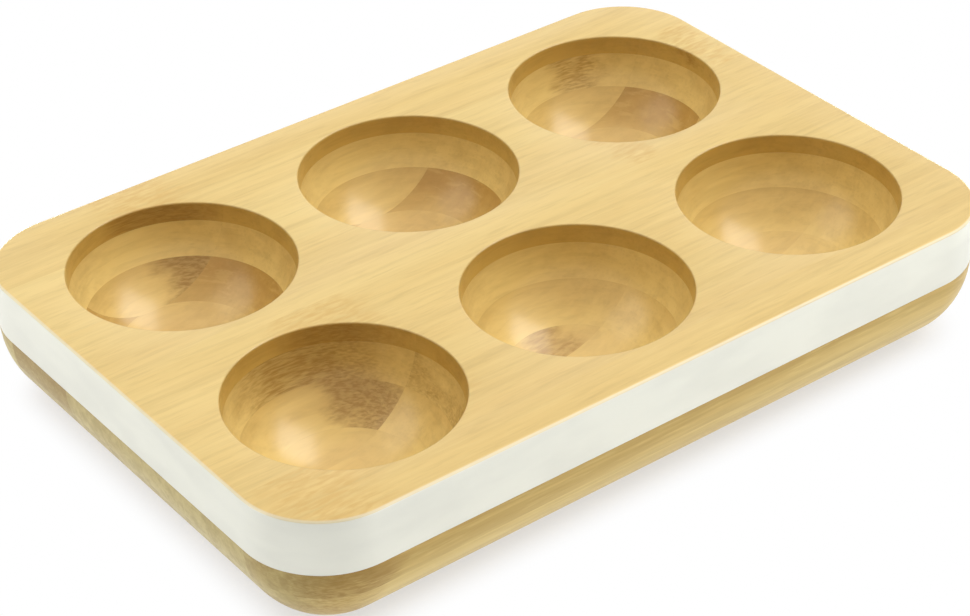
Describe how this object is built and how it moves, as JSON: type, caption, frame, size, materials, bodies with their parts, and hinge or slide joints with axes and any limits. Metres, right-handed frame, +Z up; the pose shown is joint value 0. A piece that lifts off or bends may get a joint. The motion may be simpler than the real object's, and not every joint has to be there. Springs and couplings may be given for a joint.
{
  "type": "egg tray",
  "caption": "Laminated bamboo tray with round corners, bowl-shaped wells that hold eggs upright, a white lacquered band round its upper sides and a deep round under its base.",
  "frame": {"origin": "centre of the tray's base, on the surface it stands on", "axes": "+X along the length and the grain, +Y across the width towards the back, +Z up out of the wells"},
  "size_m": [0.19, 0.129, 0.0333],
  "materials": {
    "face_bamboo": "pale golden bamboo with fine lengthwise streaks, satin clear lacquer",
    "core_bamboo": "golden brown bamboo with fine lengthwise streaks, satin clear lacquer",
    "white_lacquer": "smooth satin white lacquer"
  },
  "bodies": {
    "root": {"top_ply_strip_1": "face_bamboo", "top_ply_strip_2_segment_1": "face_bamboo", "top_ply_strip_2_segment_2": "face_bamboo", "top_ply_strip_2_segment_3": "face_bamboo", "top_ply_strip_2_segment_4": "face_bamboo", "top_ply_strip_3": "face_bamboo", "top_ply_strip_4": "face_bamboo", "top_ply_strip_5_segment_1": "face_bamboo", "top_ply_strip_5_segment_2": "face_bamboo", "top_ply_strip_5_segment_3": "face_bamboo", "top_ply_strip_5_segment_4": "face_bamboo", "top_ply_strip_6": "face_bamboo", "upper_core_strip_1": "core_bamboo", "upper_core_strip_2_segment_1": "core_bamboo", "upper_core_strip_2_segment_2": "core_bamboo", "upper_core_strip_2_segment_3": "core_bamboo", "upper_core_strip_2_segment_4": "core_bamboo", "upper_core_strip_3": "core_bamboo", "upper_core_strip_4": "core_bamboo", "upper_core_strip_5_segment_1": "core_bamboo", "upper_core_strip_5_segment_2": "core_bamboo", "upper_core_strip_5_segment_3": "core_bamboo", "upper_core_strip_5_segment_4": "core_bamboo", "upper_core_strip_6": "core_bamboo", "middle_core_strip_1": "core_bamboo", "middle_core_strip_2_segment_1": "core_bamboo", "middle_core_strip_2_segment_2": "core_bamboo", "middle_core_strip_2_segment_3": "core_bamboo", "middle_core_strip_2_segment_4": "core_bamboo", "middle_core_strip_3": "core_bamboo", "middle_core_strip_4": "core_bamboo", "middle_core_strip_5_segment_1": "core_bamboo", "middle_core_strip_5_segment_2": "core_bamboo", "middle_core_strip_5_segment_3": "core_bamboo", "middle_core_strip_5_segment_4": "core_bamboo", "middle_core_strip_6": "core_bamboo", "lower_core_strip_1": "core_bamboo", "lower_core_strip_2": "core_bamboo", "lower_core_strip_3": "core_bamboo", "lower_core_strip_4": "core_bamboo", "lower_core_strip_5": "core_bamboo", "lower_core_strip_6": "core_bamboo", "base_ply_strip_1": "face_bamboo", "base_ply_strip_2": "face_bamboo", "base_ply_strip_3": "face_bamboo", "base_ply_strip_4": "face_bamboo", "base_ply_strip_5": "face_bamboo", "base_ply_strip_6": "face_bamboo", "lacquer_band": "white_lacquer"}
  },
  "joints": []
}
